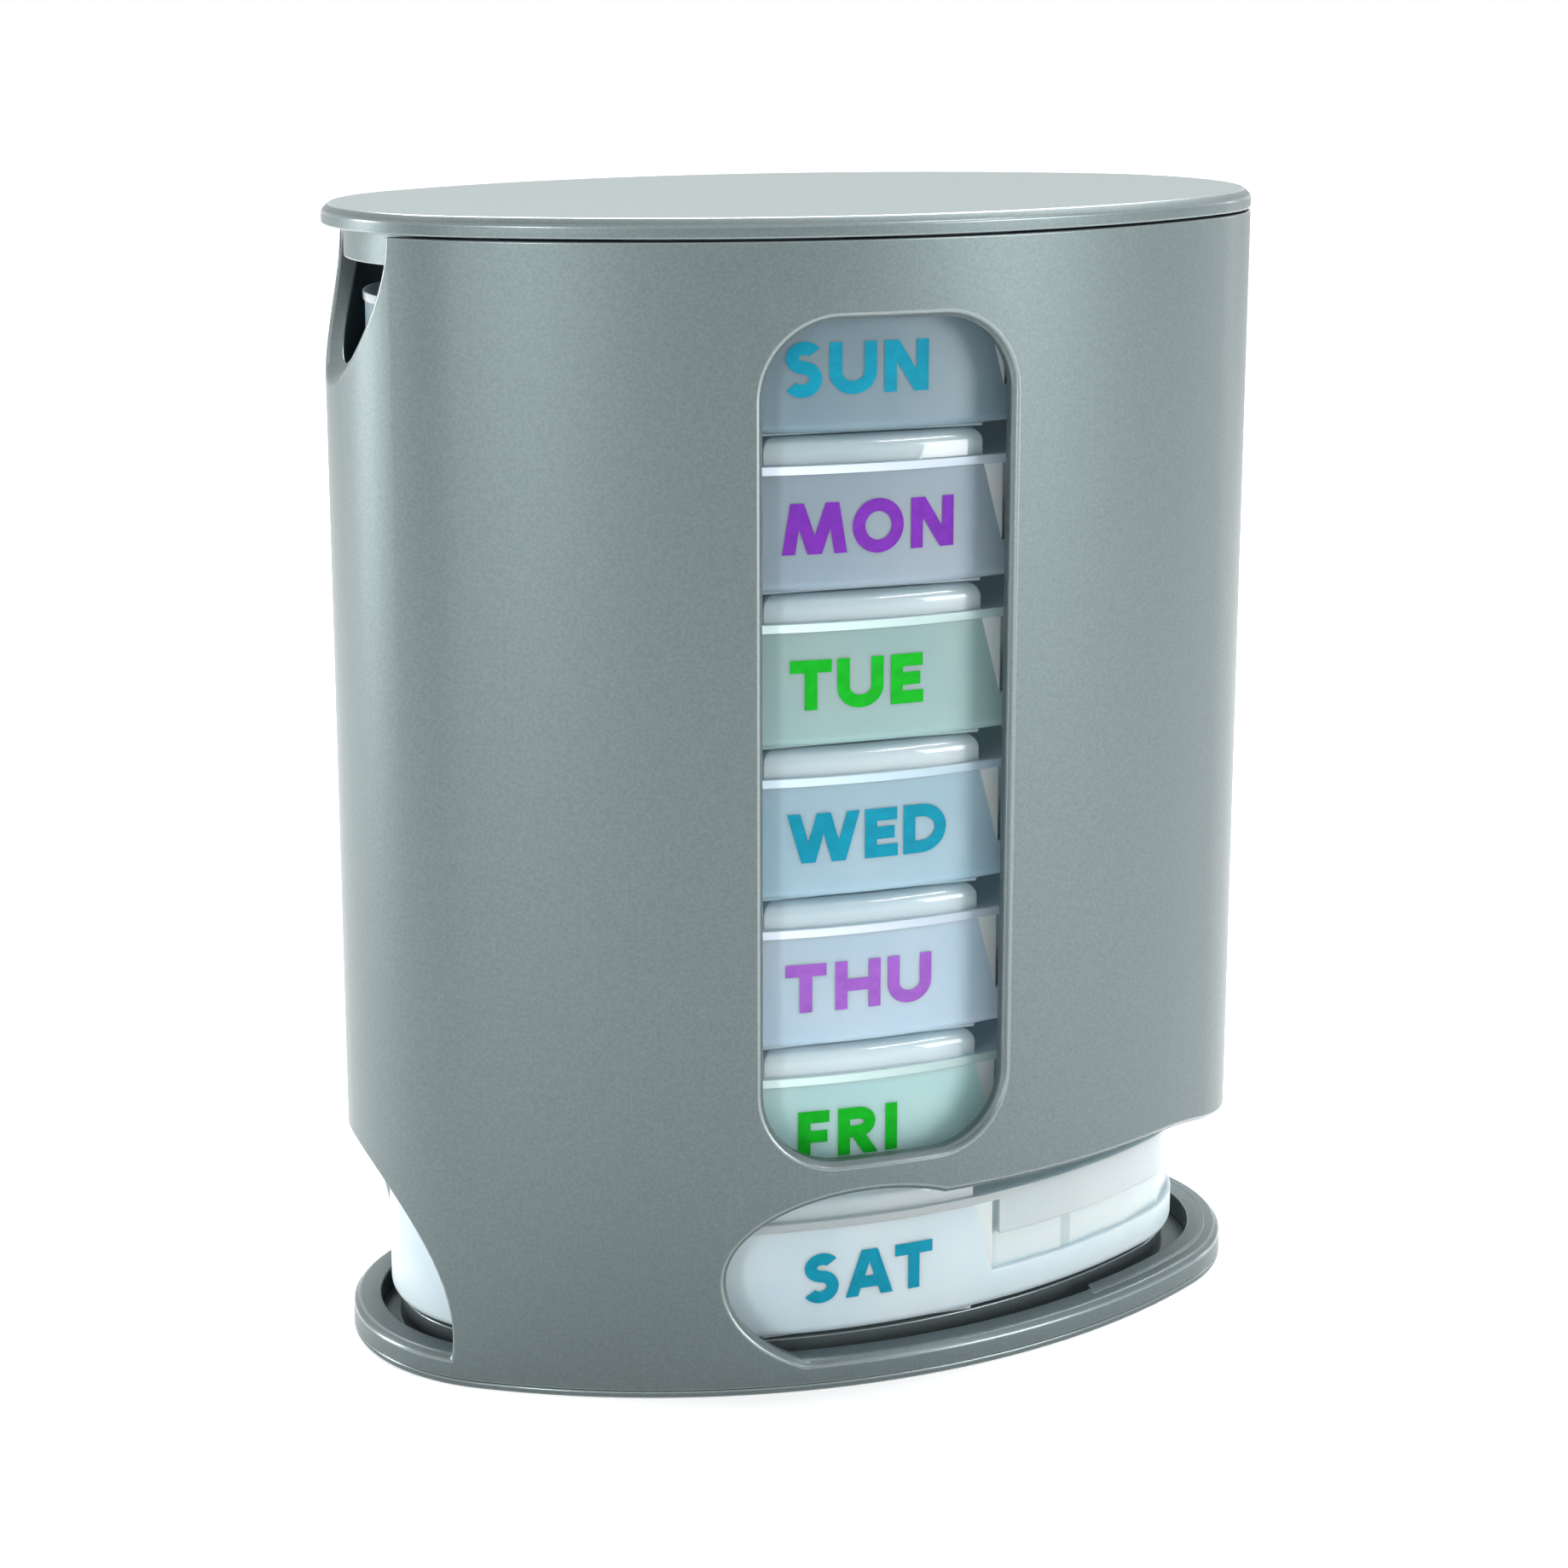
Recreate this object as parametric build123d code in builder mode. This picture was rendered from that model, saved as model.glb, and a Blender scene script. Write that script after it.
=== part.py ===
from build123d import *
import os
from math import acos, asin, atan2, cos, degrees, hypot, sqrt

# Weekly pill box: an oval tower that stacks seven day trays and hands out the lowest one.
# Millimetres, +Z up. +X is the long axis and points to the outlet end, -Y is the front
# with the window. The origin is the centre of the base, on the surface it stands on.

# Case outside
case_length = 132.4
case_width = 76.2
case_end_radius = 26.4
wall = 2.6
opening_chamfer = 0.8

# Base plate and the rim around it
base_thickness = 1.0
rim_height = 4.3
rim_width = 4.0
curb_height = 4.55
curb_start = 35.0
curb_outer_inset = 2.5
curb_inner_inset = 4.9
seat_inset = 1.2
seat_end_margin = 24.5
seat_side_margin = 12.0
seat_rib = 2.0

# Window in the front
window_width = 34.4
window_foot_rise = 6.2
window_top_drop = 13.3
window_corner = 10.2

# Outlet: a thumb lobe that runs into a slot round the right end
lobe_x = -2.2
lobe_height = 16.6
lobe_reach = 20.0
lobe_rise = 11.4
lobe_drop = 14.0
brow_start_x = 8.6
brow_end_x = 46.0
tip_edge_height = 22.8
brow_ease = 9.0

# Push arch in the left end
arch_side_margin = 2.6
arch_spring_height = 7.0
arch_rise = 23.0

# Finger notch at the top of the left end
notch_width = 30.0
notch_outer_depth = 20.9
notch_inner_depth = 13.0
notch_reach = 8.7
notch_chamfer = 0.5

# Top lid and its hinge
lid_thickness = 2.7
lid_gap = 0.3
lid_top_chamfer = 1.0
lid_clearance = 0.3
lid_skirt_thickness = 1.6
lid_skirt_depth = 4.4
lid_skirt_start_x = 48.0
lid_tab_x = 10.0
lid_tab_width = 16.0
hinge_inset = 2.42
hinge_gap = 0.2
hinge_barrel_radius = 1.5
hinge_pin_radius = 0.75
pin_clearance = 0.05
hinge_knuckle_width = 6.0
hinge_lug_width = 2.7
hinge_side_gap = 0.3
hinge_pocket_width = 21.4
hinge_pocket_depth = 3.1
hinge_stem_outer = 1.2

# Day trays
days = ["saturday", "friday", "thursday", "wednesday", "tuesday", "monday", "sunday"]
tray_pitch = 21.0
stack_gap = 0.2
stack_headroom = 7.5
tray_end_clearance = 4.1
tray_side_clearance = 3.1
tray_corner_clearance = 2.1
tray_shift = -1.15
tray_bottom = 5.5
tray_lid_space = 5.4
tray_wall = 1.9
tray_floor = 1.6
divider_thickness = 1.4
divider_spacing = 33.0
end_flat = 0.5
panel_depth = 0.8
panel_bottom = 5.0
panel_shares = (0, 0.35, 0.65, 0.85, 0.96, 1)
label_half_width = 18.5
foot_height = 0.4
foot_inset = 3.4
foot_width = 2.2

# Tray lids
plate_thickness = 1.2
plate_overhang = 0.3
rail_half_length = 15.5
rail_inset = 0.5
rail_width = 2.3
flap_gap = 1.1
flap_end_y = 14.0
flap_thickness = 0.8
flap_depth = 5.2
lid_barrel_radius = 1.75
lid_axis_inset = 2.5
lid_pin_radius = 0.7
round_sides = 8
pin_sides = 6
ear_thickness = 1.2
ear_gap = 0.2
plate_bite = 0.2

# Guide ribs inside the case
rib_thickness = 1.6
rib_near_x = 26.0
rib_far_x = 46.0
rib_clearance = 0.8
rib_top_drop = 11.0

# Worked out from the sizes above
case_height = tray_bottom + len(days) * tray_pitch + stack_headroom
half_length = case_length / 2
half_width = case_width / 2
outside = half_length + 2.0
wall_top = case_height - lid_thickness - lid_gap
lid_bottom = case_height - lid_thickness
window_bottom = tray_bottom + tray_pitch + window_foot_rise
window_top = case_height - window_top_drop
rib_top = case_height - rib_top_drop
tray_length = case_length - 2 * (wall + tray_end_clearance)
tray_width = case_width - 2 * (wall + tray_side_clearance)
tray_end_radius = case_end_radius - wall - tray_corner_clearance
foot_y = tray_width / 2 - foot_inset
lid_axis_y = tray_width / 2 - lid_axis_inset
flap_start_x = label_half_width + flap_gap
panel_end_y = flap_end_y + flap_gap
seat_height = tray_bottom - foot_height - stack_gap
tray_body_height = tray_pitch - tray_lid_space
rail_top = tray_pitch - foot_height - stack_gap
brow_height = tray_bottom + rail_top + stack_gap
plate_top = tray_body_height + plate_thickness
lid_axis_height = rail_top - lid_barrel_radius
pin_hole_radius = lid_pin_radius + pin_clearance
hinge_x = half_length - hinge_inset
hinge_z = lid_bottom - hinge_gap - hinge_barrel_radius
hinge_pocket_floor = hinge_z - hinge_pocket_depth
hinge_width = hinge_knuckle_width + 2 * (hinge_side_gap + hinge_lug_width)


def side_arc(long_half, short_half, end_radius):
    """Radius of the front and back arcs of an oval made of four tangent arcs."""
    end_x = long_half - end_radius
    return (end_x**2 + short_half**2 - end_radius**2) / (2 * (short_half - end_radius))


def oval(length, width, end_radius, inset, shift=0.0, mode=Mode.ADD):
    """An oval of four tangent arcs, drawn in by inset and moved along X by shift."""
    radius = side_arc(length / 2, width / 2, end_radius)
    end_x = length / 2 - end_radius
    side_y = radius - width / 2
    join = degrees(atan2(side_y, end_x))
    with BuildLine() as outline:
        CenterArc((shift + end_x, 0), end_radius - inset, -join, 2 * join)
        CenterArc((shift, -side_y), radius - inset, join, 180 - 2 * join)
        CenterArc((shift - end_x, 0), end_radius - inset, 180 - join, 2 * join)
        CenterArc((shift, side_y), radius - inset, 180 + join, 180 - 2 * join)
    return make_face(outline.edges(), mode=mode)


def case_oval(inset, mode=Mode.ADD):
    """The case's outline, drawn in by inset."""
    return oval(case_length, case_width, case_end_radius, inset, mode=mode)


def tray_oval(inset, mode=Mode.ADD):
    """A tray's outline, drawn in by inset."""
    return oval(tray_length, tray_width, tray_end_radius, inset, tray_shift, mode=mode)


def faceted(inset, stations, side=1, mode=Mode.ADD):
    """Part of a tray's outline, drawn in by inset, with straight walls between the stations along X."""
    radius = side_arc(tray_length / 2, tray_width / 2, tray_end_radius)
    end_x = tray_length / 2 - tray_end_radius
    side_y = radius - tray_width / 2
    join_x = end_x + (tray_end_radius - inset) * cos(atan2(side_y, end_x))
    upper = []
    for x in stations:
        if x < join_x:
            half = sqrt((radius - inset) ** 2 - x**2) - side_y
        else:
            half = sqrt((tray_end_radius - inset) ** 2 - (x - end_x) ** 2)
        upper.append((tray_shift + side * x, half))
    with BuildLine() as outline:
        Polyline(*upper, *[(x, -half) for x, half in reversed(upper)], close=True)
    return make_face(outline.edges(), mode=mode)


def end_stations(start, inset, shares=(0, 0.5, 0.8, 0.95, 1)):
    """Stations from start to the end of a tray, closer together where the outline turns."""
    reach = tray_length / 2 - inset - end_flat - start
    return [start + share * reach for share in shares]


def on_outer_wall(edge):
    """True for an edge that lies on the outside of the case wall."""
    point = edge.position_at(0.5)
    radius = side_arc(half_length, half_width, case_end_radius)
    end_x = half_length - case_end_radius
    side_y = radius - half_width
    beyond_end = abs(point.X) - end_x
    if abs(point.Y) * end_x < side_y * beyond_end:
        gap = hypot(beyond_end, point.Y) - case_end_radius
    else:
        gap = hypot(point.X, abs(point.Y) + side_y) - radius
    return abs(gap) < 0.01


def curved_edges(edges):
    """The edges that are not straight, which leaves out the seams between the arcs of the wall."""
    return edges.filter_by(GeomType.LINE, reverse=True)


# Housing: the oval wall, cut by the window, the outlet, the push arch and the notch
with BuildPart() as housing:
    with BuildSketch(Plane.XY.offset(base_thickness)):
        case_oval(0)
        case_oval(wall, Mode.SUBTRACT)
    extrude(amount=wall_top - base_thickness)

    # Rim at the foot of the wall
    with BuildSketch(Plane.XY.offset(base_thickness)):
        case_oval(wall / 2)
        case_oval(rim_width, Mode.SUBTRACT)
    extrude(amount=rim_height - base_thickness)

    # Ribs that guide the stack of trays
    with BuildSketch(Plane.XY.offset(rim_height)):
        with Locations((-rib_far_x, 0), (-rib_near_x, 0), (rib_near_x, 0), (rib_far_x, 0)):
            Rectangle(rib_thickness, case_width)
        Rectangle(case_length, rib_thickness)
        case_oval(wall / 2, Mode.INTERSECT)
        tray_oval(-rib_clearance, Mode.SUBTRACT)
    extrude(amount=rib_top - rim_height)

    # Window
    with BuildSketch(Plane.XZ):
        with Locations((0, (window_bottom + window_top) / 2)):
            RectangleRounded(window_width, window_top - window_bottom, window_corner)
    extrude(amount=half_width + 1, mode=Mode.SUBTRACT)
    chamfer(housing.edges(Select.LAST).filter_by(on_outer_wall), opening_chamfer)

    # Outlet
    crown_angle = degrees(acos((brow_start_x - lobe_x) / lobe_reach))
    heel_arc = degrees(asin((lobe_height - rim_height) / lobe_drop))
    with BuildSketch(Plane.XZ):
        with BuildLine():
            lobe_centre = (lobe_x, lobe_height)
            crown_arc = 180 - crown_angle
            crown = EllipticalCenterArc(lobe_centre, lobe_reach, lobe_rise, crown_angle, arc_size=crown_arc)
            heel = EllipticalCenterArc(lobe_centre, lobe_reach, lobe_drop, 180, arc_size=heel_arc)
            rim_line = Line(heel @ 1, (outside, rim_height))
            end_line = Line(rim_line @ 1, (outside, tip_edge_height))
            fall = Bezier(
                end_line @ 1,
                (outside - brow_ease, tip_edge_height),
                (brow_end_x + brow_ease, brow_height),
                (brow_end_x, brow_height),
            )
            Line(fall @ 1, crown @ 0)
        make_face()
    extrude(amount=half_width + 1, both=True, mode=Mode.SUBTRACT)
    outlet_edges = curved_edges(housing.edges(Select.LAST)).filter_by(on_outer_wall)
    chamfer(outlet_edges.group_by(Axis.Z)[0], opening_chamfer)
    outer_edges = curved_edges(housing.edges()).filter_by(on_outer_wall)
    chamfer(outer_edges.filter_by_position(Axis.Z, rim_height, lobe_height + lobe_rise), opening_chamfer)

    # Push arch, kept inside the end arc of the wall
    end_x = half_length - case_end_radius
    side_y = side_arc(half_length, half_width, case_end_radius) - half_width
    end_arc_y = case_end_radius * side_y / hypot(end_x, side_y)
    with BuildSketch(Plane.YZ):
        with Locations((0, arch_spring_height)):
            Ellipse(end_arc_y - arch_side_margin, arch_rise)
        with Locations((0, (rim_height - half_width) / 2)):
            Rectangle(case_width, rim_height + half_width, mode=Mode.SUBTRACT)
    extrude(amount=-outside, mode=Mode.SUBTRACT)
    chamfer(curved_edges(housing.edges(Select.LAST)).filter_by(on_outer_wall), opening_chamfer)

    # Finger notch, scooped: deeper on the outside of the wall than on the inside
    notch_face_x = half_length + notch_chamfer
    with BuildSketch(Plane.YZ.offset(-notch_face_x)):
        with Locations((0, wall_top)):
            Ellipse(notch_width / 2, notch_outer_depth)
    with BuildSketch(Plane.YZ.offset(notch_reach - notch_face_x)):
        with Locations((0, wall_top)):
            Ellipse(notch_width / 2, notch_inner_depth)
    loft(mode=Mode.SUBTRACT)
    notch_edges = curved_edges(housing.edges(Select.LAST)).filter_by(on_outer_wall)
    chamfer(notch_edges.filter_by_position(Axis.Z, 0, wall_top - notch_chamfer), notch_chamfer)

    # Curb that guides the tray round the right end
    with BuildSketch(Plane.XY.offset(base_thickness)):
        case_oval(curb_outer_inset)
        case_oval(curb_inner_inset, Mode.SUBTRACT)
        with Locations((curb_start + half_length, 0)):
            Rectangle(case_length, case_width, mode=Mode.INTERSECT)
    extrude(amount=curb_height - base_thickness)

    # Pocket for the tip of the lid, with the middle knuckle of the hinge
    with Locations((half_length, 0, (hinge_pocket_floor + wall_top) / 2)):
        Box(4 * wall, hinge_pocket_width, wall_top - hinge_pocket_floor, mode=Mode.SUBTRACT)
    with BuildSketch(Plane.XZ.offset(-hinge_knuckle_width / 2)):
        with Locations((hinge_x, hinge_z)):
            Circle(hinge_barrel_radius)
        with Locations((hinge_x, (hinge_pocket_floor + hinge_z) / 2)):
            Rectangle(2 * hinge_stem_outer, hinge_z - hinge_pocket_floor)
        with Locations((hinge_x, hinge_z)):
            Circle(hinge_pin_radius + pin_clearance, mode=Mode.SUBTRACT)
    extrude(amount=hinge_knuckle_width)

housing.part.label = "housing"


# Base plate: closes the wall at the foot, with an oval seat that carries the lowest tray
with BuildPart() as base_plate:
    with BuildSketch():
        case_oval(0)
    extrude(amount=base_thickness)
    with BuildSketch(Plane.XY.offset(base_thickness)):
        tray_oval(seat_inset)
        pocket_length = (tray_length - seat_rib) / 2 - seat_end_margin
        pocket_x = (pocket_length + seat_rib) / 2
        with Locations((-pocket_x, 0), (pocket_x, 0)):
            Rectangle(pocket_length, tray_width - 2 * seat_side_margin, mode=Mode.SUBTRACT)
    extrude(amount=seat_height - base_thickness)

base_plate.part.label = "base_plate"


# Top lid: oval plate with a skirt at the left and two tabs that drop inside the wall, and two hinge lugs
with BuildPart() as top_lid:
    with BuildSketch(Plane.XY.offset(lid_bottom)):
        case_oval(0)
    extrude(amount=lid_thickness)
    chamfer(top_lid.edges().group_by(Axis.Z)[-1], lid_top_chamfer)
    with BuildSketch(Plane.XY.offset(lid_bottom)):
        case_oval(wall + lid_clearance)
        case_oval(wall + lid_clearance + lid_skirt_thickness, Mode.SUBTRACT)
        with BuildSketch(mode=Mode.INTERSECT):
            with Locations((-lid_skirt_start_x - half_length, 0)):
                Rectangle(case_length, case_width)
            with Locations((lid_tab_x, 0)):
                Rectangle(lid_tab_width, case_width)
    extrude(amount=-lid_skirt_depth)
    lug_offset = (hinge_knuckle_width + hinge_lug_width) / 2 + hinge_side_gap
    for side in (-1, 1):
        with BuildSketch(Plane.XZ.offset(side * lug_offset)):
            with Locations((hinge_x, hinge_z)):
                Circle(hinge_barrel_radius)
            with Locations((hinge_x, (hinge_z + lid_bottom) / 2)):
                Rectangle(2 * hinge_barrel_radius, lid_bottom - hinge_z)
            with Locations((hinge_x, hinge_z)):
                Circle(hinge_pin_radius + pin_clearance, mode=Mode.SUBTRACT)
        extrude(amount=hinge_lug_width / 2, both=True)

top_lid.part.label = "top_lid"


# Pin of the top lid's hinge
with BuildPart() as top_lid_hinge_pin:
    with BuildSketch(Plane.XZ):
        with Locations((hinge_x, hinge_z)):
            Circle(hinge_pin_radius)
    extrude(amount=hinge_width / 2, both=True)

top_lid_hinge_pin.part.label = "top_lid_hinge_pin"


# Day tray, standing on z = 0: oval tub with four compartments
with BuildPart() as tray:
    with BuildSketch():
        tray_oval(0)
    extrude(amount=tray_body_height)

    # Set-back panel under the flap of the lid
    with BuildSketch(Plane.XY.offset(panel_bottom)):
        tray_oval(-1)
        faceted(panel_depth, end_stations(label_half_width, panel_depth, panel_shares), mode=Mode.SUBTRACT)
        with Locations((label_half_width + half_length, panel_end_y - half_width)):
            Rectangle(case_length, case_width, mode=Mode.INTERSECT)
    extrude(amount=tray_body_height - panel_bottom, mode=Mode.SUBTRACT)

    # Compartments, with straight walls that keep inside the outline
    with BuildSketch(Plane.XY.offset(tray_floor)):
        for side in (-1, 1):
            faceted(tray_wall, [divider_thickness / 2, divider_spacing - divider_thickness / 2], side)
            faceted(tray_wall, end_stations(divider_spacing + divider_thickness / 2, tray_wall), side)
    extrude(amount=tray_body_height - tray_floor, mode=Mode.SUBTRACT)

    # Feet that stand on the lid of the tray below
    with BuildSketch():
        with Locations((0, -foot_y), (0, foot_y)):
            Rectangle(2 * rail_half_length, foot_width)
    extrude(amount=-foot_height)

    # Ears that hold the hinge pin at the back
    for side in (-1, 1):
        ear_x = side * (rail_half_length + ear_thickness / 2)
        with BuildSketch(Plane.YZ.offset(ear_x)):
            with Locations((lid_axis_y, lid_axis_height)):
                RegularPolygon(lid_barrel_radius, round_sides, major_radius=False)
            with Locations((lid_axis_y, (tray_body_height + lid_axis_height) / 2)):
                Rectangle(2 * lid_barrel_radius, lid_axis_height - tray_body_height)
            with Locations((lid_axis_y, lid_axis_height)):
                RegularPolygon(pin_hole_radius, pin_sides, major_radius=False, mode=Mode.SUBTRACT)
        extrude(amount=ear_thickness / 2, both=True)


# Lid of a day tray: plate, stacking rail at the front, grip flap at the right, hinge barrel
with BuildPart() as tray_lid:
    with BuildSketch(Plane.XY.offset(tray_body_height)):
        tray_oval(-plate_overhang)
        with Locations((0, lid_axis_y + half_width)):
            Rectangle(case_length, case_width, mode=Mode.SUBTRACT)
        ear_slot = ear_thickness + 2 * ear_gap
        with Locations((-rail_half_length - ear_thickness / 2, lid_axis_y)):
            Rectangle(ear_slot, 2 * (lid_barrel_radius + ear_gap), mode=Mode.SUBTRACT)
        with Locations((rail_half_length + ear_thickness / 2, lid_axis_y)):
            Rectangle(ear_slot, 2 * (lid_barrel_radius + ear_gap), mode=Mode.SUBTRACT)
    extrude(amount=plate_thickness)

    # Stacking rail
    with BuildSketch(Plane.XY.offset(plate_top)):
        tray_oval(rail_inset)
        tray_oval(rail_inset + rail_width, Mode.SUBTRACT)
        with Locations((0, -half_width)):
            Rectangle(2 * rail_half_length, case_width, mode=Mode.INTERSECT)
    extrude(amount=rail_top - plate_top)

    # Grip flap
    flap_inset = flap_thickness - plate_overhang
    with BuildSketch(Plane.XY.offset(tray_body_height)):
        tray_oval(-plate_overhang)
        faceted(flap_inset, end_stations(label_half_width, flap_inset, panel_shares), mode=Mode.SUBTRACT)
        with Locations((flap_start_x + half_length, flap_end_y - half_width)):
            Rectangle(case_length, case_width, mode=Mode.INTERSECT)
    extrude(amount=-flap_depth)

    # Hinge barrel
    with BuildSketch(Plane.YZ):
        with Locations((lid_axis_y, lid_axis_height)):
            RegularPolygon(lid_barrel_radius, round_sides, major_radius=False)
        with Locations((lid_axis_y - lid_barrel_radius / 2, (plate_top + lid_axis_height - plate_bite) / 2)):
            Rectangle(lid_barrel_radius, lid_axis_height - plate_top + plate_bite)
        with Locations((lid_axis_y, lid_axis_height)):
            RegularPolygon(pin_hole_radius, pin_sides, major_radius=False, mode=Mode.SUBTRACT)
    extrude(amount=rail_half_length - ear_gap, both=True)


# Hinge pin of a tray lid
with BuildPart() as tray_pin:
    with BuildSketch(Plane.YZ):
        with Locations((lid_axis_y, lid_axis_height)):
            RegularPolygon(lid_pin_radius, pin_sides, major_radius=False)
    extrude(amount=rail_half_length + ear_thickness, both=True)


# The stack: Saturday at the bottom, Sunday on top
pieces = [housing.part, base_plate.part, top_lid.part, top_lid_hinge_pin.part]
for level, day in enumerate(days):
    place = Location((0, 0, tray_bottom + level * tray_pitch))
    for solid, name in ((tray, "tray_{}"), (tray_lid, "tray_{}_lid"), (tray_pin, "tray_{}_hinge_pin")):
        piece = solid.part.moved(place)
        piece.label = name.format(day)
        pieces.append(piece)

os.makedirs("parts", exist_ok=True)
for piece in pieces:
    export_step(piece, f"parts/{piece.label}.step")
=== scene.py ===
"""Looks of the weekly pill box: rounded edges, materials, weekday lettering, camera and studio."""

import math

import bmesh
import bpy
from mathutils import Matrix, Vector


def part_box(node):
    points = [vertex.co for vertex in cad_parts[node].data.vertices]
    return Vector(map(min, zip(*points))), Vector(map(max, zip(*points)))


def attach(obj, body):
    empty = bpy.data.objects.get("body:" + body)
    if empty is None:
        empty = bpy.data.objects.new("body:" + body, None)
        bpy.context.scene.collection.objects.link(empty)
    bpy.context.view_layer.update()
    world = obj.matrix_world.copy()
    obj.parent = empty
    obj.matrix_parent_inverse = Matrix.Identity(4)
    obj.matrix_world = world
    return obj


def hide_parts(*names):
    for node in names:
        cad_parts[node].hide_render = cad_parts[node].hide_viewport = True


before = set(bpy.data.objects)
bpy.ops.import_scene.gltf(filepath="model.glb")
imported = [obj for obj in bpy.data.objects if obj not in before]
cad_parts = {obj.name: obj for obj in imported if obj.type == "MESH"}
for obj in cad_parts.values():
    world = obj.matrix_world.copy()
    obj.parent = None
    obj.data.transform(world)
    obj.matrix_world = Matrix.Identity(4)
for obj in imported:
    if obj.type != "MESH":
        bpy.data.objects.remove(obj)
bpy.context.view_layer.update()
MM = 0.001

# Days, from the lowest tray up
DAYS = ["saturday", "friday", "thursday", "wednesday", "tuesday", "monday", "sunday"]

# Colours, linear
CASE_GREY = (0.099, 0.128, 0.131, 1)
CASE_FLECK = (0.116, 0.149, 0.151, 1)
# Lighter grey of the case's rounded edges: a painted highlight
PAINTED_EDGE_HIGHLIGHT = (0.19, 0.23, 0.235, 1)
PAINTED_EDGE_HIGHLIGHT_FLECK = (0.21, 0.25, 0.255, 1)
FROSTED = (0.54, 0.72, 0.82)
FROSTED_PALE = (0.62, 0.77, 0.85)
CLEAR = (0.60, 0.78, 0.86)
CLEAR_PALE = (0.69, 0.84, 0.90)
PANEL = (0.53, 0.60, 0.61, 1)
PANEL_DIVIDER = (0.40, 0.48, 0.49, 1)
TEAL = (0.0, 0.235, 0.35, 1)
PURPLE = (0.155, 0.022, 0.35, 1)
LILAC = (0.29, 0.10, 0.48, 1)
GREEN = (0.0, 0.37, 0.01, 1)
# Rim of a lid's plate, bright at its left and dim at its right: a painted highlight
PAINTED_RIM_BRIGHT = (0.66, 0.74, 0.80)
PAINTED_RIM_DIM = (0.30, 0.37, 0.42)
STEEL_DARK = (0.45, 0.45, 0.46, 1)
STEEL_PALE = (0.6, 0.6, 0.6, 1)
FLOOR_WHITE = (0.9, 0.9, 0.9, 1)
DAY_INK = {
    "sunday": TEAL,
    "monday": PURPLE,
    "tuesday": GREEN,
    "wednesday": TEAL,
    "thursday": LILAC,
    "friday": GREEN,
    "saturday": TEAL,
}

# Faint tint of each tray's plastic, as factors on its red, green and blue
TINTS = {
    "blue": (0.85, 0.97, 1.02),
    "lilac": (1.0, 1.0, 1.05),
    "mint": (0.88, 1.03, 0.92),
    "plain": (1.06, 0.98, 0.94),
    "none": (1, 1, 1),
}
DAY_TINT = {
    "sunday": "blue",
    "monday": "lilac",
    "tuesday": "mint",
    "wednesday": "blue",
    "thursday": "lilac",
    "friday": "mint",
    "saturday": "plain",
}

# Share of light that goes straight through the clear lids, by their tint
CLEARNESS = {"none": 0.25, "plain": 0.55}

# Roughness of the case's walls and of its rounded edges
CASE_ROUGHNESS = 0.42
CASE_EDGE_ROUGHNESS = 0.25

# Days whose lid rims get a painted highlight and glow
PAINTED_RIM_DAYS = DAYS[1:6]

# Painted shade: factors on the trays' and lids' colours, darker the higher they sit in the case
DARKEST_TRAY = 0.24
LIGHTEST_TRAY = 0.86
DARKEST_LID = 0.56
LIGHTEST_LID = 0.90

# Rounding of the moulded edges, of all that turn more sharply than the facets of a curve
SHARP_TURN = math.radians(28)
ROUND_STEPS = 2
LEVEL_ROUND_STEPS = 5
CASE_ROUND = 0.25 * MM
TRAY_ROUND = 0.12 * MM
LID_ROUND = 0.12 * MM
TRAY_BOTTOM_ROUND = 1.3 * MM
RAIL_ROUND = 1.9 * MM

# Levels on a tray, from its underside
FOOT_HEIGHT = 0.4 * MM
PLATE_BOTTOM = 15.6 * MM
PLATE_TOP = 16.8 * MM
RAIL_TOP = 20.4 * MM
PANEL_BOTTOM = 5.0 * MM
SAME_LEVEL = 0.01 * MM
OFF_LEVEL = 0.1 * MM

# Places along a tray, and how far its set-back panel goes round the right end
# Where the painted highlight on a lid's rim fades from bright to dim
PAINTED_RIM_FADE_START = -24 * MM
PAINTED_RIM_FADE_END = 22 * MM
PANEL_START = 17.3 * MM
PANEL_END_X = 52 * MM
PANEL_FRONT_Y = -18 * MM
PANEL_BACK_Y = 15 * MM
DIVIDER_X = 31.85 * MM
DIVIDER_HALF_WIDTH = 0.9 * MM

# Lettering on the front of a tray
CAP_HEIGHT = 6.8 * MM
LETTER_MIDDLE = 8.8 * MM
FRONT_RADIUS = 93.8 * MM
INK_LIFT = 0.04 * MM
STROKE_LIFT = 0.004 * MM

# Strokes and gaps, for a cap height of 1
STROKE = 0.255
TOP_BAR = 1 - STROKE / 2
FOOT_BAR = STROKE / 2
BOW_STEP = 10
LETTER_GAP = 0.21
KERNING = {"AT": -0.15, "ED": -0.06, "MO": -0.04, "SA": -0.05, "SU": -0.04, "TU": -0.07, "WE": -0.05}

# How far the words stand off the middle of their trays
WORD_SHIFT = {
    "sunday": -1.9 * MM,
    "tuesday": -1.6 * MM,
    "thursday": -1.2 * MM,
    "friday": -2.7 * MM,
    "saturday": 0.5 * MM,
}

# Painted glow: faint on the trays and lids, in place of light that thin plastic passes on from behind,
# and on a plate's rim, in place of light that it gathers
PAINTED_THROUGH_GLOW = 0.03
PAINTED_RIM_GLOW = 0.08

# Camera
CAMERA_PLACE = (-143.8 * MM, -418.4 * MM, 194.5 * MM)
CAMERA_DOWN = 12.24
CAMERA_TURN = 18.70
SENSOR_WIDTH = 36
LENS = 73.03
SHIFT_Y = -0.10

# Floor and surroundings
FLOOR_REACH = 6.0
FLOOR_GLOW = 0.42
GLOW_START = 0.12
GLOW_END = 2.0
WORLD_LIGHT = 0.3
BACKGROUND_RAYS = ["Is Camera Ray", "Is Glossy Ray", "Is Transmission Ray"]

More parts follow.
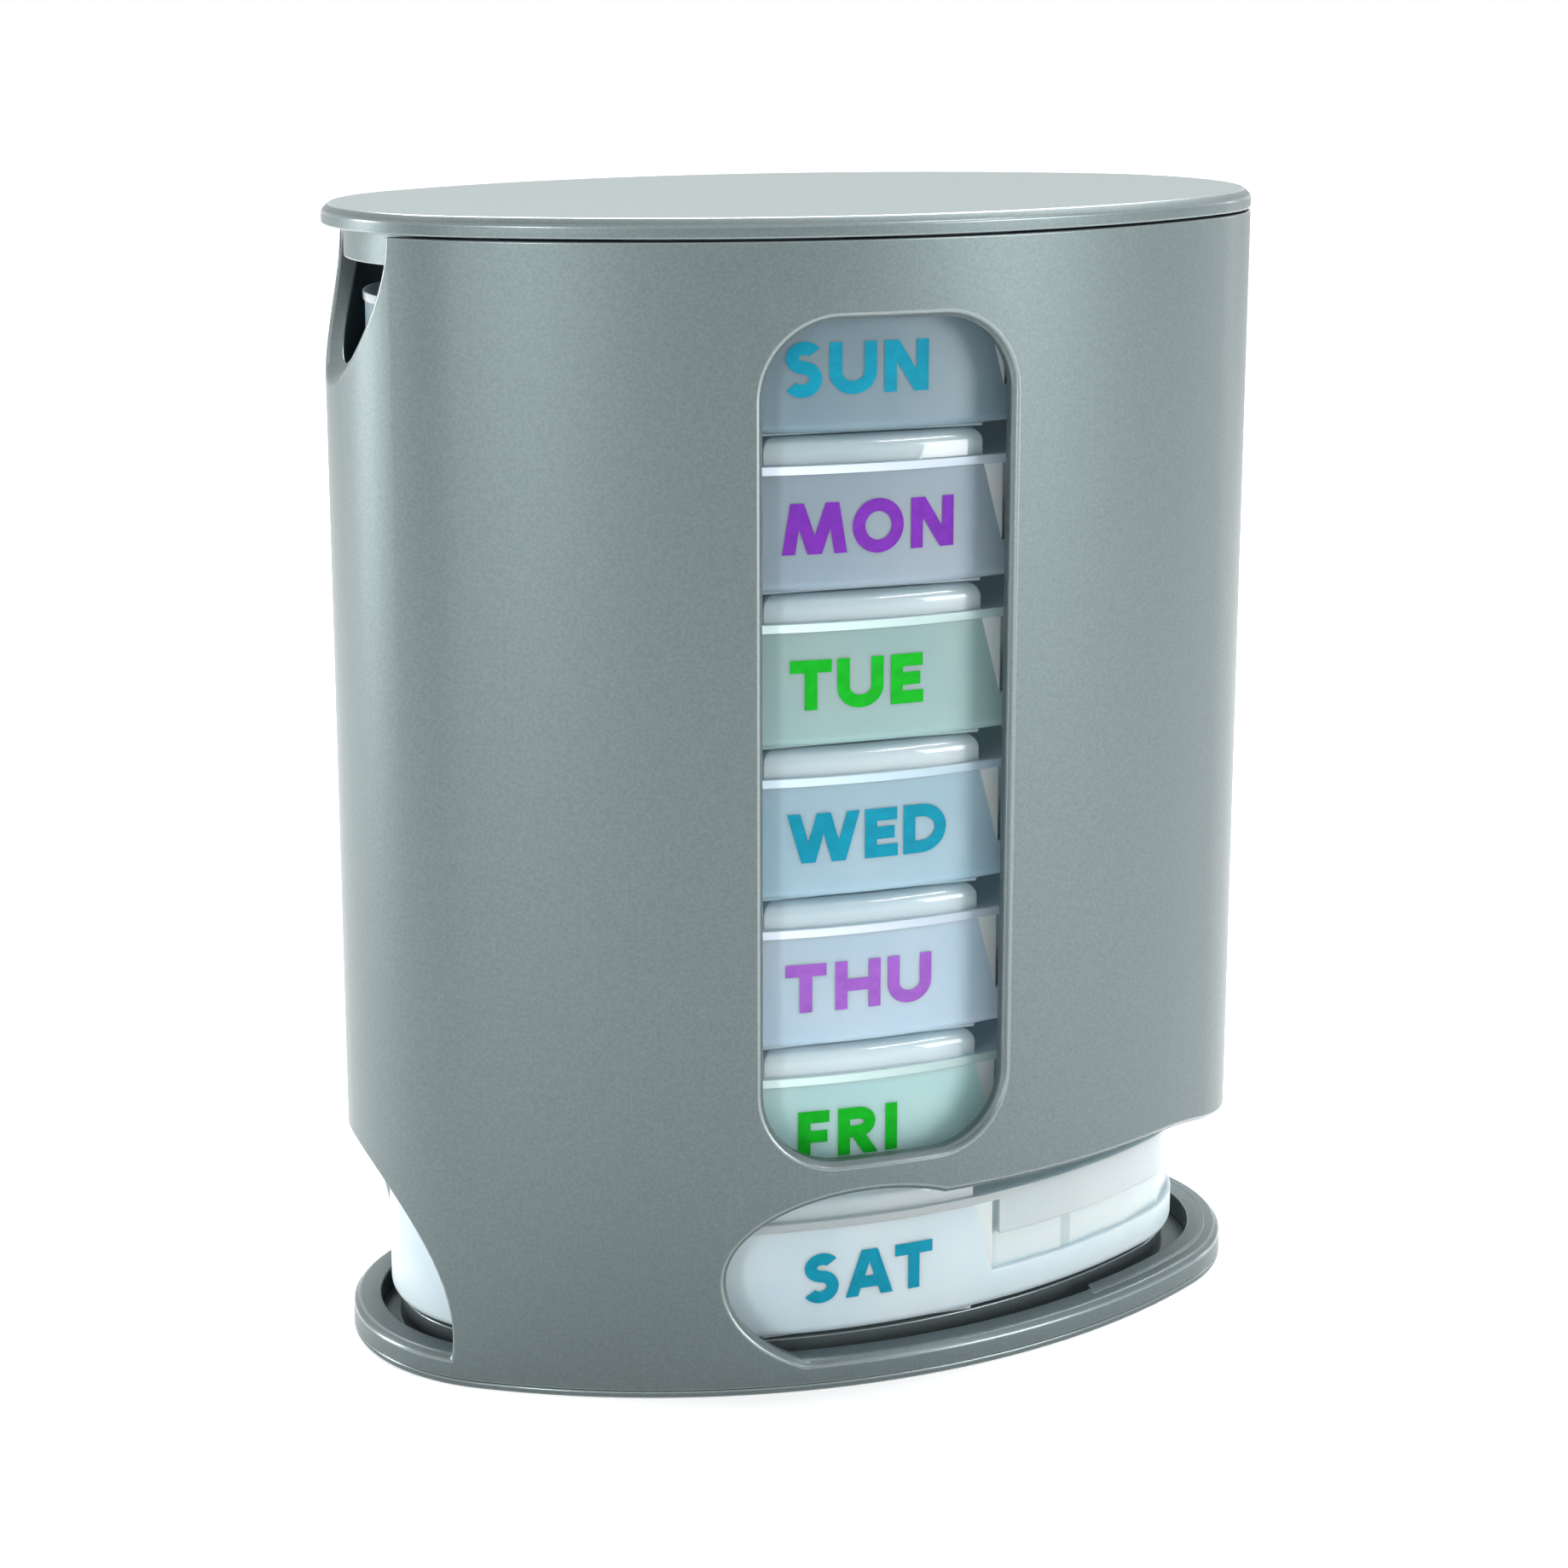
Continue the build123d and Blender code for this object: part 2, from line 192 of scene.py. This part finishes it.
# Lamps: degrees from the front to the right, distance, height, width, length, power
LAMP_TARGET = (0, 0, 0.08)
LAMPS = {
    "strip_left": (-42, 0.9, 0.14, 0.06, 0.5, 3.0),
    "strip_far_left": (-112, 0.8, 0.12, 0.16, 0.5, 5.0),
    "key_right": (41, 1.0, 0.16, 0.40, 0.5, 5.6),
    "edge_right": (98, 0.9, 0.12, 0.12, 0.5, 0.9),
    "rail_strip": (42, 0.55, 0.65, 0.26, 0.06, 1.1),
}
TOP_LAMP_PLACE = (0.2, 0.4, 0.9)
TOP_LAMP_WIDTH = 1.1
TOP_LAMP_LENGTH = 0.5
TOP_LAMP_POWER = 20


class Nodes:
    """Short calls for building one node-based material."""

    def __init__(self, name):
        self.material = bpy.data.materials.new(name)
        self.material.use_nodes = True
        self.tree = self.material.node_tree
        self.shader = self.tree.nodes["Principled BSDF"]

    def add(self, kind, **values):
        """A new node, with values for its inputs or for its settings."""
        node = self.tree.nodes.new(kind)
        for key, value in values.items():
            if key in node.inputs:
                node.inputs[key].default_value = value
            else:
                setattr(node, key, value)
        return node

    def link(self, a, b):
        self.tree.links.new(a, b)

    def set(self, **values):
        """Constant values for inputs of the shader."""
        for key, value in values.items():
            self.shader.inputs[key.replace("_", " ")].default_value = value

    def position(self):
        return self.add("ShaderNodeTexCoord").outputs["Object"]

    def noise(self, scale, detail=2.0):
        node = self.add("ShaderNodeTexNoise", Scale=scale, Detail=detail)
        self.link(self.position(), node.inputs["Vector"])
        return node.outputs["Fac"]

    def ramp(self, source, low, high, start=0.35, end=0.65):
        node = self.add("ShaderNodeValToRGB")
        node.color_ramp.elements[0].position = start
        node.color_ramp.elements[1].position = end
        node.color_ramp.elements[0].color = low
        node.color_ramp.elements[1].color = high
        self.link(source, node.inputs["Fac"])
        return node.outputs["Color"]

    def painted_shade_by_height(self, colour, at_foot, at_top):
        """Painted shade: the colour, times a factor that changes evenly from the lowest tray to the
        highest.
        """
        height = self.add("ShaderNodeSeparateXYZ")
        self.link(self.position(), height.inputs[0])
        factor = self.add("ShaderNodeMapRange")
        factor.inputs["From Min"].default_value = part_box("tray_saturday")[0].z
        factor.inputs["From Max"].default_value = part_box("tray_sunday")[1].z
        factor.inputs["To Min"].default_value = at_foot
        factor.inputs["To Max"].default_value = at_top
        self.link(height.outputs["Z"], factor.inputs["Value"])
        scaled = self.add("ShaderNodeVectorMath", operation="SCALE")
        self.link(colour, scaled.inputs[0])
        self.link(factor.outputs["Result"], scaled.inputs["Scale"])
        return scaled.outputs["Vector"]

    def bump(self, source, strength, distance):
        node = self.add("ShaderNodeBump", Strength=strength, Distance=distance)
        self.link(source, node.inputs["Height"])
        self.link(node.outputs["Normal"], self.shader.inputs["Normal"])


def case_material(name, grey, fleck, roughness):
    """Satin grey plastic with a fine metal fleck."""
    nodes = Nodes(name)
    nodes.set(Metallic=0.5, Roughness=roughness)
    colour = nodes.ramp(nodes.noise(2600.0, 1.0), grey, fleck)
    nodes.link(colour, nodes.shader.inputs["Base Color"])
    nodes.bump(nodes.noise(1800.0), 0.08, 0.00004)
    return nodes.material


def tinted(colour, tint):
    """The colour times a day's tint."""
    return tuple(c * t for c, t in zip(colour, TINTS[tint])) + (1,)


def frosted_material(tint):
    """Frosted moulded plastic of the trays, with painted shade that darkens it higher up the case and a
    faint painted glow.
    """
    nodes = Nodes(f"frosted_plastic_{tint}")
    nodes.set(Roughness=0.36, IOR=1.4, Subsurface_Weight=1.0, Subsurface_Scale=3 * MM)
    # Faint painted glow, in place of light passed through from behind
    nodes.set(Emission_Color=tinted(FROSTED, tint), Emission_Strength=PAINTED_THROUGH_GLOW)
    nodes.shader.inputs["Subsurface Radius"].default_value = (0.9, 1.0, 1.1)
    colour = nodes.ramp(nodes.noise(60.0), tinted(FROSTED, tint), tinted(FROSTED_PALE, tint))
    # Painted shade, darker higher up the case
    shaded = nodes.painted_shade_by_height(colour, LIGHTEST_TRAY, DARKEST_TRAY)
    nodes.link(shaded, nodes.shader.inputs["Base Color"])
    nodes.bump(nodes.noise(900.0), 0.1, 0.00004)
    return nodes.material


def clear_material(tint, clearness):
    """Clear moulded plastic of the tray lids, with painted shade that darkens it higher up the case and a
    faint painted glow.
    """
    nodes = Nodes(f"clear_plastic_{tint}")
    nodes.set(Roughness=0.4, Transmission_Weight=clearness, IOR=1.5)
    nodes.set(Coat_Weight=1.0, Coat_Roughness=0.04)
    nodes.set(Subsurface_Weight=1.0, Subsurface_Scale=3 * MM)
    # Faint painted glow, in place of light passed through from behind
    nodes.set(Emission_Color=tinted(CLEAR, tint), Emission_Strength=PAINTED_THROUGH_GLOW)
    nodes.shader.inputs["Subsurface Radius"].default_value = (0.9, 1.0, 1.1)
    colour = nodes.ramp(nodes.noise(40.0), tinted(CLEAR, tint), tinted(CLEAR_PALE, tint))
    # Painted shade, darker higher up the case
    shaded = nodes.painted_shade_by_height(colour, LIGHTEST_LID, DARKEST_LID)
    nodes.link(shaded, nodes.shader.inputs["Base Color"])
    nodes.bump(nodes.noise(200.0), 0.05, 0.0001)
    return nodes.material


def painted_rim_light_material(tint):
    """Rim of a lid's plate: a painted highlight and painted glow, bright at the left and dim at the
    right.
    """
    nodes = Nodes(f"painted_rim_light_{tint}")
    nodes.set(Roughness=0.3, IOR=1.5)
    along = nodes.add("ShaderNodeSeparateXYZ")
    nodes.link(nodes.position(), along.inputs[0])
    fade = nodes.add("ShaderNodeMapRange")
    fade.inputs["From Min"].default_value = PAINTED_RIM_FADE_START
    fade.inputs["From Max"].default_value = PAINTED_RIM_FADE_END
    nodes.link(along.outputs["X"], fade.inputs["Value"])
    # Painted highlight, bright at the left and dim at the right
    colour = nodes.ramp(fade.outputs["Result"], tinted(PAINTED_RIM_BRIGHT, tint), tinted(PAINTED_RIM_DIM, tint), 0.2, 0.9)
    nodes.link(colour, nodes.shader.inputs["Base Color"])
    # Painted glow of the rim, in its painted highlight colour
    nodes.link(colour, nodes.shader.inputs["Emission Color"])
    nodes.set(Emission_Strength=PAINTED_RIM_GLOW)
    return nodes.material


def panel_material():
    """Thin, clearer wall of the set-back panel, with a divider glimmering through."""
    nodes = Nodes("panel_plastic")
    nodes.set(Roughness=0.25, IOR=1.45, Subsurface_Weight=0.6, Subsurface_Scale=2 * MM)
    along = nodes.add("ShaderNodeSeparateXYZ")
    nodes.link(nodes.position(), along.inputs[0])
    offset = nodes.add("ShaderNodeMath", operation="COMPARE")
    nodes.link(along.outputs["X"], offset.inputs[0])
    offset.inputs[1].default_value = DIVIDER_X
    offset.inputs[2].default_value = DIVIDER_HALF_WIDTH
    colour = nodes.ramp(offset.outputs[0], PANEL, PANEL_DIVIDER)
    nodes.link(colour, nodes.shader.inputs["Base Color"])
    nodes.bump(nodes.noise(300.0), 0.05, 0.0001)
    return nodes.material


def steel_material():
    """Drawn steel of the pins."""
    nodes = Nodes("steel")
    nodes.set(Metallic=1.0, Roughness=0.3)
    colour = nodes.ramp(nodes.noise(500.0), STEEL_DARK, STEEL_PALE)
    nodes.link(colour, nodes.shader.inputs["Base Color"])
    return nodes.material


def ink_material(name, colour):
    """Printed ink, a little uneven."""
    nodes = Nodes(name)
    nodes.set(Roughness=0.6, Specular_IOR_Level=0.15)
    darker = tuple(0.85 * c for c in colour[:3]) + (1,)
    nodes.link(nodes.ramp(nodes.noise(700.0), darker, colour), nodes.shader.inputs["Base Color"])
    return nodes.material


def body_of(name):
    """The body that a CAD node moves with."""
    if name == "top_lid":
        return "lid"
    return "saturday_tray" if name.startswith("tray_saturday") else "case"


def day_of(name):
    """The day of a tray, or of a tray's lid."""
    return name.split("_")[1]


def shaped_copy(name, materials, reshape=None):
    """A copy of a CAD node that reshape has changed, shown in the node's place."""
    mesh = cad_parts[name].data.copy()
    mesh.materials.clear()
    for material in materials:
        mesh.materials.append(material)
    piece = bpy.data.objects.new(f"{name}_moulded", mesh)
    bpy.context.scene.collection.objects.link(piece)
    shape = bmesh.new()
    shape.from_mesh(mesh)
    bmesh.ops.remove_doubles(shape, verts=shape.verts, dist=0.002 * MM)
    if reshape:
        reshape(shape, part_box(f"tray_{day_of(name)}")[0].z + FOOT_HEIGHT)
    shape.to_mesh(mesh)
    shape.free()
    mesh.shade_smooth()
    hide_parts(name)
    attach(piece, body_of(name))
    return piece


def rounded(piece, width):
    """Rounds every edge sharper than the facets of a curve, and keeps the flat faces' shading flat."""
    bevel = piece.modifiers.new("round", "BEVEL")
    bevel.width = width
    bevel.segments = ROUND_STEPS
    bevel.limit_method = "ANGLE"
    bevel.angle_limit = SHARP_TURN
    bevel.use_clamp_overlap = False
    bevel.loop_slide = False
    weighted = piece.modifiers.new("even_shading", "WEIGHTED_NORMAL")
    weighted.mode = "FACE_AREA"
    return piece


def round_level(shape, level, width, side):
    """Rounds edges at one level more: those under (side -1) or over (side 1) the walls that meet them.

    Under the walls all edges are taken, over them only those of walls that face the front or the ends.
    """
    edges = []
    for edge in shape.edges:
        if all(abs(vertex.co.z - level) < SAME_LEVEL for vertex in edge.verts):
            walls = [f for f in edge.link_faces if side * (level - f.calc_center_median().z) > OFF_LEVEL]
            if walls and (side < 0 or walls[0].normal.y < 0.1):
                edges.append(edge)
    bmesh.ops.bevel(
        shape, geom=edges, offset=width, segments=LEVEL_ROUND_STEPS, profile=0.5, affect="EDGES"
    )


def reshape_lid(shape, underside):
    """Rounds the rail of a lid, and marks the rim of its plate."""
    round_level(shape, underside + RAIL_TOP, RAIL_ROUND, 1)
    # The rim of the plate takes the second material, a painted highlight on most days
    for face in shape.faces:
        height = face.calc_center_median().z - underside
        if PLATE_BOTTOM < height < PLATE_TOP and abs(face.normal.z) < 0.5:
            face.material_index = 1


def reshape_tray(shape, underside):
    """Rounds the lower edges of a tray, and marks its set-back panel."""
    round_level(shape, underside, TRAY_BOTTOM_ROUND, -1)
    for face in shape.faces:
        centre = face.calc_center_median()
        in_panel = centre.x > PANEL_START and PANEL_BOTTOM < centre.z - underside < PLATE_BOTTOM
        at_front = centre.y < PANEL_FRONT_Y and face.normal.y < 0
        at_end = centre.x > PANEL_END_X and centre.y < PANEL_BACK_Y and face.normal.x > 0
        if in_panel and abs(face.normal.z) < 0.5 and (at_front or at_end):
            face.material_index = 1


def dress_nodes():
    """Gives every CAD node its material, and every moulded one its rounded edges."""
    case = [
        case_material("case_plastic", CASE_GREY, CASE_FLECK, CASE_ROUGHNESS),
        case_material("case_edge_painted_highlight", PAINTED_EDGE_HIGHLIGHT, PAINTED_EDGE_HIGHLIGHT_FLECK, CASE_EDGE_ROUGHNESS),
    ]
    steel = steel_material()
    panel = panel_material()
    clear = {tint: clear_material(tint, clearness) for tint, clearness in CLEARNESS.items()}
    frosted = {tint: frosted_material(tint) for tint in sorted(set(DAY_TINT.values()))}
    painted_rim_light = {tint: painted_rim_light_material(tint) for tint in sorted({DAY_TINT[day] for day in PAINTED_RIM_DAYS})}
    for name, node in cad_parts.items():
        if name.endswith("_pin"):
            node.data.materials.clear()
            node.data.materials.append(steel)
        elif not name.startswith("tray_"):
            piece = rounded(shaped_copy(name, case), CASE_ROUND)
            # The rounded edges take the lighter second material, a painted highlight
            piece.modifiers["round"].material = 1
        elif name.endswith("_lid"):
            day = day_of(name)
            plate = clear["plain" if day == "saturday" else "none"]
            # On these days the rim takes the painted highlight and glow
            rim = painted_rim_light[DAY_TINT[day]] if day in PAINTED_RIM_DAYS else plate
            rounded(shaped_copy(name, [plate, rim], reshape_lid), LID_ROUND)
        else:
            walls = frosted[DAY_TINT[day_of(name)]]
            rounded(shaped_copy(name, [walls, panel], reshape_tray), TRAY_ROUND)


def bar(left, right, y, steps=5):
    """A level stroke, as pairs of lower and upper points."""
    xs = [left + (right - left) * step / steps for step in range(steps + 1)]
    return [((x, y - STROKE / 2), (x, y + STROKE / 2)) for x in xs]


def leg(x0, y0, x1, y1, steps=3):
    """A steep stroke with level ends, as pairs of left and right points."""
    half = STROKE / 2 * math.hypot(x1 - x0, y1 - y0) / abs(y1 - y0)
    pairs = []
    for step in range(steps + 1):
        x = x0 + (x1 - x0) * step / steps
        y = y0 + (y1 - y0) * step / steps
        pairs.append(((x - half, y), (x + half, y)))
    return pairs


def bow(x, y, radius_x, radius_y, start, end):
    """A stroke along part of an ellipse, as pairs of inner and outer points."""
    steps = 2 + abs(end - start) // BOW_STEP
    pairs = []
    for step in range(steps + 1):
        angle = math.radians(start + (end - start) * step / steps)
        row = []
        for side in (-STROKE / 2, STROKE / 2):
            row.append((x + (radius_x + side) * math.cos(angle), y + (radius_y + side) * math.sin(angle)))
        pairs.append(tuple(row))
    return pairs


# Each letter: its width, then its strokes, for a cap height of 1
LETTERS = {
    "A": (1.0, [leg(0.12, 0, 0.46, 1), leg(0.88, 0, 0.54, 1), bar(0.25, 0.75, 0.3)]),
    "D": (
        0.88,
        [
            leg(0.1, 0, 0.1, 1),
            bar(0.1, 0.36, TOP_BAR),
            bar(0.1, 0.36, FOOT_BAR),
            bow(0.36, 0.5, 0.42, TOP_BAR - 0.5, -90, 90),
        ],
    ),
    "E": (
        0.67,
        [
            leg(0.1, 0, 0.1, 1),
            bar(0.1, 0.65, TOP_BAR),
            bar(0.1, 0.6, 0.5),
            bar(0.1, 0.67, FOOT_BAR),
        ],
    ),
    "F": (0.62, [leg(0.1, 0, 0.1, 1), bar(0.1, 0.62, TOP_BAR), bar(0.1, 0.58, 0.46)]),
    "H": (0.9, [leg(0.1, 0, 0.1, 1), leg(0.8, 0, 0.8, 1), bar(0.1, 0.8, 0.5)]),
    "I": (0.2, [leg(0.1, 0, 0.1, 1)]),
    "M": (
        1.24,
        [
            leg(0.1, 0, 0.26, 1),
            leg(0.61, 0, 0.27, 1),
            leg(0.63, 0, 0.97, 1),
            leg(1.14, 0, 0.98, 1),
        ],
    ),
    "N": (0.87, [leg(0.1, 0, 0.1, 1), leg(0.75, 0, 0.12, 1), leg(0.77, 0, 0.77, 1)]),
    "O": (1.0, [bow(0.5, 0.5, 0.4, 0.41, 0, 360)]),
    "R": (
        0.8,
        [
            leg(0.1, 0, 0.1, 1),
            bar(0.1, 0.4, TOP_BAR),
            bar(0.1, 0.4, 0.49),
            bow(0.4, 0.68, 0.24, TOP_BAR - 0.68, -90, 90),
            leg(0.67, 0, 0.37, 0.46),
        ],
    ),
    "S": (0.74, [bow(0.39, 0.715, 0.24, 0.185, 35, 270), bow(0.35, 0.305, 0.26, 0.225, 90, -145)]),
    "T": (0.84, [bar(0, 0.84, TOP_BAR), leg(0.42, 0, 0.42, 1)]),
    "U": (0.9, [leg(0.1, 0.42, 0.1, 1), leg(0.8, 0.42, 0.8, 1), bow(0.45, 0.42, 0.35, 0.3, 180, 360)]),
    "W": (
        1.44,
        [
            leg(0.4, 0, 0.11, 1),
            leg(0.42, 0, 0.71, 1),
            leg(1.02, 0, 0.73, 1),
            leg(1.04, 0, 1.33, 1),
        ],
    ),
}


def letter_starts(word):
    """Where each letter starts and where the word's middle is, for a cap height of 1."""
    starts = [0.0]
    for letter, following in zip(word, word[1:]):
        gap = LETTER_GAP + KERNING.get(letter + following, 0)
        starts.append(starts[-1] + LETTERS[letter][0] + gap)
    return starts, (starts[-1] + LETTERS[word[-1]][0]) / 2


def on_front(foot, x, y, lift):
    """The point x along and y up a tray's curved front, from the middle of its foot."""
    angle = x / FRONT_RADIUS
    reach = FRONT_RADIUS + lift
    return (
        foot[0] + reach * math.sin(angle),
        foot[1] + FRONT_RADIUS - reach * math.cos(angle),
        foot[2] + y,
    )


def lettering(day):
    """The day's short name, printed on the front of its tray. Each stroke lies over the one before it."""
    word = day[:3].upper()
    starts, middle = letter_starts(word)
    low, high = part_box(f"tray_{day}")
    foot = ((low.x + high.x) / 2, low.y, low.z)
    shift = WORD_SHIFT.get(day, 0)
    lift = INK_LIFT
    shape = bmesh.new()
    for start, letter in zip(starts, word):
        for pairs in LETTERS[letter][1]:
            rows = []
            for pair in pairs:
                row = []
                for x, y in pair:
                    along = (start + x - middle) * CAP_HEIGHT + shift
                    up = LETTER_MIDDLE + (y - 0.5) * CAP_HEIGHT
                    row.append(shape.verts.new(on_front(foot, along, up, lift)))
                rows.append(row)
            for (a, b), (c, d) in zip(rows, rows[1:]):
                shape.faces.new((a, b, d, c))
            lift += STROKE_LIFT
    bmesh.ops.recalc_face_normals(shape, faces=shape.faces)
    mesh = bpy.data.meshes.new(f"letters_{day}")
    shape.to_mesh(mesh)
    shape.free()
    mesh.materials.append(ink_material(f"ink_{day}", DAY_INK[day]))
    letters = bpy.data.objects.new(f"letters_{day}", mesh)
    bpy.context.scene.collection.objects.link(letters)
    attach(letters, body_of(f"tray_{day}"))


def camera():
    """The photograph's viewpoint."""
    data = bpy.data.cameras.new("camera")
    eye = bpy.data.objects.new("camera", data)
    bpy.context.scene.collection.objects.link(eye)
    eye.location = CAMERA_PLACE
    eye.rotation_euler = (math.radians(90 - CAMERA_DOWN), 0, math.radians(-CAMERA_TURN))
    data.sensor_width = SENSOR_WIDTH
    data.lens = LENS
    data.shift_y = SHIFT_Y
    data.clip_start = 0.01
    bpy.context.scene.camera = eye


def area_light(name, location, size, size_y, power):
    """A soft rectangular lamp, turned to the object."""
    data = bpy.data.lights.new(name, "AREA")
    data.shape = "RECTANGLE"
    data.size = size
    data.size_y = size_y
    data.energy = power
    lamp = bpy.data.objects.new(name, data)
    bpy.context.scene.collection.objects.link(lamp)
    lamp.location = location
    lamp.rotation_euler = (Vector(LAMP_TARGET) - Vector(location)).to_track_quat("-Z", "Y").to_euler()


def rays(tree, kinds):
    """1 for a ray of any of these kinds, and 0 for every other ray."""
    path = tree.nodes.new("ShaderNodeLightPath")
    total = path.outputs[kinds[0]]
    for kind in kinds[1:]:
        add = tree.nodes.new("ShaderNodeMath")
        add.operation = "ADD"
        add.use_clamp = True
        tree.links.new(total, add.inputs[0])
        tree.links.new(path.outputs[kind], add.inputs[1])
        total = add.outputs[0]
    return total


def floor_material():
    """Matt white, with a glow that only the background's rays see and that grows outwards."""
    nodes = Nodes("floor_white")
    nodes.set(Base_Color=FLOOR_WHITE, Roughness=0.9)
    glow = nodes.add("ShaderNodeEmission")
    distance = nodes.add("ShaderNodeVectorMath", operation="LENGTH")
    nodes.link(nodes.position(), distance.inputs[0])
    spread = nodes.add("ShaderNodeMapRange")
    spread.inputs["From Min"].default_value = GLOW_START
    spread.inputs["From Max"].default_value = GLOW_END
    spread.inputs["To Min"].default_value = FLOOR_GLOW
    spread.inputs["To Max"].default_value = 1.0
    nodes.link(distance.outputs["Value"], spread.inputs["Value"])
    seen = nodes.add("ShaderNodeMath", operation="MULTIPLY")
    nodes.link(spread.outputs["Result"], seen.inputs[0])
    nodes.link(rays(nodes.tree, BACKGROUND_RAYS), seen.inputs[1])
    nodes.link(seen.outputs[0], glow.inputs["Strength"])
    both = nodes.add("ShaderNodeAddShader")
    nodes.link(nodes.shader.outputs[0], both.inputs[0])
    nodes.link(glow.outputs[0], both.inputs[1])
    nodes.link(both.outputs[0], nodes.tree.nodes["Material Output"].inputs["Surface"])
    return nodes.material


def pale_floor():
    """A plain pale floor."""
    mesh = bpy.data.meshes.new("floor")
    side = FLOOR_REACH
    corners = [(-side, -side, 0), (side, -side, 0), (side, side, 0), (-side, side, 0)]
    mesh.from_pydata(corners, [], [(0, 1, 2, 3)])
    mesh.materials.append(floor_material())
    floor = bpy.data.objects.new("floor", mesh)
    bpy.context.scene.collection.objects.link(floor)


def surroundings():
    """White where they are seen, and dimmer as a light."""
    world = bpy.data.worlds.new("world")
    bpy.context.scene.world = world
    world.use_nodes = True
    tree = world.node_tree
    background = tree.nodes["Background"]
    background.inputs["Color"].default_value = (1, 1, 1, 1)
    strength = tree.nodes.new("ShaderNodeMapRange")
    strength.inputs["To Min"].default_value = WORLD_LIGHT
    strength.inputs["To Max"].default_value = 1.0
    tree.links.new(rays(tree, BACKGROUND_RAYS), strength.inputs["Value"])
    tree.links.new(strength.outputs["Result"], background.inputs["Strength"])


def lamps():
    """Soft lamps around the object, and one over it."""
    for name, (azimuth, distance, height, width, length, power) in LAMPS.items():
        turn = math.radians(azimuth)
        place = (distance * math.sin(turn), -distance * math.cos(turn), height)
        area_light(name, place, width, length, power)
    area_light("top", TOP_LAMP_PLACE, TOP_LAMP_WIDTH, TOP_LAMP_LENGTH, TOP_LAMP_POWER)


dress_nodes()
for day in DAYS:
    lettering(day)
camera()
pale_floor()
surroundings()
lamps()
bpy.context.scene.view_settings.view_transform = "Standard"
